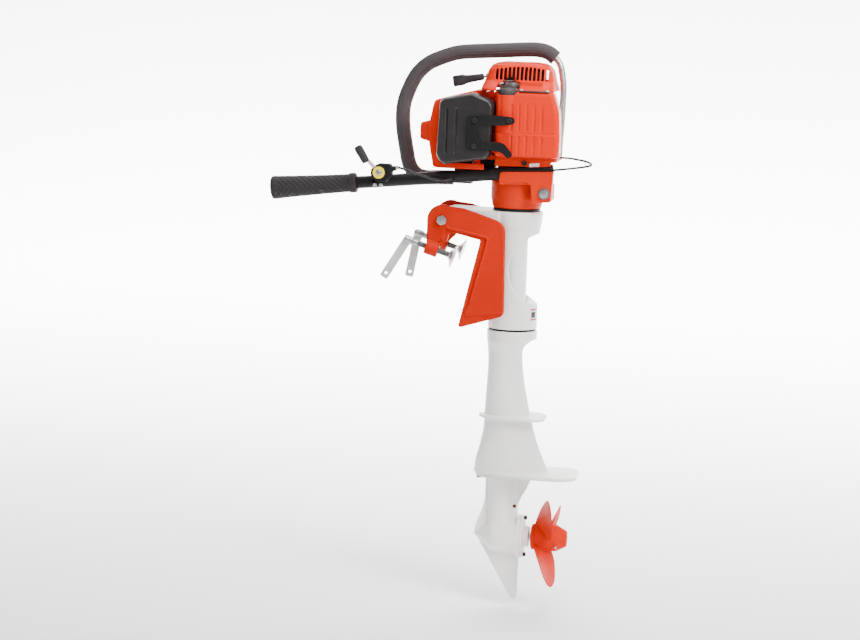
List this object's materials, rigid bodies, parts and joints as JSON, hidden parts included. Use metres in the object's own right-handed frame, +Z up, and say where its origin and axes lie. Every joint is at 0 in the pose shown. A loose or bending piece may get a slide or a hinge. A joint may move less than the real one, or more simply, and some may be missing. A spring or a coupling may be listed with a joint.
{
  "type": "outboard motor",
  "caption": "Small portable petrol outboard motor: transom clamp with folding screw handles, tilting and steering leg, tiller, recoil start, top tank, carry handle and geared propeller.",
  "frame": {"origin": "middle of the transom's top aft corner, where the clamp's saddle meets its upright", "axes": "+X aft, away from the boat; +Y starboard; +Z up, along the vertical steering axis"},
  "size_m": [0.5643, 0.1824, 0.9935],
  "materials": {
    "orange_paint": "semi-gloss orange paint on cast aluminium",
    "orange_plastic": "moulded orange plastic",
    "white_paint": "off-white paint on cast aluminium",
    "black_metal": "black paint or oxide on steel",
    "black_plastic": "matte black plastic",
    "rubber": "dark grey rubber",
    "bright_steel": "bare bright steel",
    "zinc": "zinc-plated steel",
    "aluminium": "bare cast aluminium",
    "pale_zinc": "pale zinc-plated strip",
    "grey_plastic": "dark grey moulded plastic"
  },
  "bodies": {
    "clamp": {"clamp_bracket_port": "orange_paint", "clamp_bracket_starboard": "orange_paint", "tilt_bolt": "zinc", "tilt_nut": "zinc", "tilt_rod": "zinc"},
    "swivel": {"swivel_bracket": "white_paint", "swivel_bush_upper": "black_plastic", "swivel_bush_lower": "black_plastic"},
    "outboard": {"adapter_housing": "orange_paint", "air_cleaner": "black_plastic", "bearing_carrier": "white_paint", "carburettor": "aluminium", "carrier_bolt_bottom": "black_metal", "carrier_bolt_top": "black_metal", "carry_grip": "rubber", "carry_rod": "bright_steel", "crankcase": "aluminium", "cylinder": "aluminium", "cylinder_shroud": "orange_plastic", "engine_base": "orange_paint", "fuel_tank": "orange_plastic", "gearcase": "white_paint", "gearcase_bolt": "black_metal", "handle_mount_front": "black_plastic", "ignition_coil": "black_plastic", "leg_housing": "white_paint", "muffler": "black_metal", "muffler_bracket": "black_metal", "spark_plug": "black_plastic", "starter_cover": "orange_plastic", "steering_tube": "white_paint", "throttle_cable": "black_plastic", "throttle_clamp": "black_plastic", "throttle_housing": "black_plastic", "throttle_screw": "bright_steel", "tiller_bracket": "orange_paint", "tiller_bracket_bolt": "zinc", "tiller_grip": "rubber", "tiller_tube": "black_metal"},
    "drive": {"drive_shaft": "bright_steel", "pinion_gear": "bright_steel", "clutch_drum": "black_metal", "crankshaft": "bright_steel", "flywheel_fan": "aluminium"},
    "propeller": {"prop_shaft": "bright_steel", "drive_gear": "bright_steel", "propeller": "orange_plastic", "shear_pin": "bright_steel"},
    "throttle_lever": {"throttle_lever": "pale_zinc", "throttle_knob": "rubber"},
    "starter_grip": {"starter_grip": "rubber", "starter_rope": "rubber"},
    "starter_reel": {"starter_reel": "black_plastic"},
    "fuel_cap": {"fuel_cap": "grey_plastic"},
    "pad_port": {"clamp_pad_port": "bright_steel"},
    "pad_starboard": {"clamp_pad_starboard": "bright_steel"},
    "screw_port": {"clamp_screw_port": "zinc"},
    "screw_starboard": {"clamp_screw_starboard": "zinc"},
    "handle_port": {"clamp_handle_port": "pale_zinc"},
    "handle_starboard": {"clamp_handle_starboard": "pale_zinc"}
  },
  "joints": [
    {"name": "tilt", "type": "hinge", "parent": "clamp", "child": "swivel", "pos_m": [-0.0684, 0, 0.0324], "axis": [0, -1, 0], "range_deg": [0, 60]},
    {"name": "steering", "type": "hinge", "parent": "swivel", "child": "outboard", "pos_m": [0.0555, 0, 0], "axis": [0, 0, 1], "continuous": true},
    {"name": "drive_spin", "type": "hinge", "parent": "outboard", "child": "drive", "pos_m": [0.0555, 0, 0], "axis": [0, 0, 1], "continuous": true},
    {"name": "propeller_spin", "type": "hinge", "parent": "outboard", "child": "propeller", "pos_m": [0.133, 0, -0.5324], "axis": [1, 0, 0], "continuous": true},
    {"name": "throttle", "type": "hinge", "parent": "outboard", "child": "throttle_lever", "pos_m": [-0.1792, -0.076, 0.1121], "axis": [0, -1, 0], "range_deg": [0, 50]},
    {"name": "starter_pull", "type": "slide", "parent": "outboard", "child": "starter_grip", "axis": [-0.9816, 0, -0.1908], "range_m": [0, 0.45], "stiffness_N_per_m": 15, "springref_m": -0.6, "deforming": ["starter_rope"]},
    {"name": "starter_reel_spin", "type": "hinge", "parent": "outboard", "child": "starter_reel", "pos_m": [0.0555, 0, 0.2925], "axis": [0, 0, 1], "range_deg": [-1300, 0]},
    {"name": "fuel_cap_turn", "type": "hinge", "parent": "outboard", "child": "fuel_cap", "pos_m": [0.04, -0.063, 0.262], "axis": [0, 0, 1], "range_deg": [0, 360]},
    {"name": "pad_slide_port", "type": "slide", "parent": "clamp", "child": "pad_port", "axis": [0.9542, 0, -0.299], "range_m": [-0.0105, 0.01925]},
    {"name": "screw_turn_port", "type": "hinge", "parent": "pad_port", "child": "screw_port", "pos_m": [-0.0845, -0.056, -0.018], "axis": [0.9542, 0, -0.299], "range_deg": [-2161, 3961]},
    {"name": "handle_fold_port", "type": "hinge", "parent": "screw_port", "child": "handle_port", "pos_m": [-0.12792, -0.056, -0.00439], "axis": [0, -1, 0], "range_deg": [-50, 36]},
    {"name": "pad_slide_starboard", "type": "slide", "parent": "clamp", "child": "pad_starboard", "axis": [0.9542, 0, -0.299], "range_m": [-0.0105, 0.00525]},
    {"name": "screw_turn_starboard", "type": "hinge", "parent": "pad_starboard", "child": "screw_starboard", "pos_m": [-0.0845, 0.056, -0.018], "axis": [0.9542, 0, -0.299], "range_deg": [-2161, 1081]},
    {"name": "handle_fold_starboard", "type": "hinge", "parent": "screw_starboard", "child": "handle_starboard", "pos_m": [-0.12792, 0.056, -0.00439], "axis": [0, -1, 0], "range_deg": [-70, 17]}
  ],
  "couplings": [
    {"joint": "propeller_spin", "follows": "drive_spin", "ratio": -0.48148},
    {"joint": "starter_reel_spin", "follows": "starter_pull", "rad_per_m": -50},
    {"joint": "screw_turn_port", "follows": "pad_slide_port", "rad_per_m": 3590.4},
    {"joint": "screw_turn_starboard", "follows": "pad_slide_starboard", "rad_per_m": 3590.4}
  ]
}
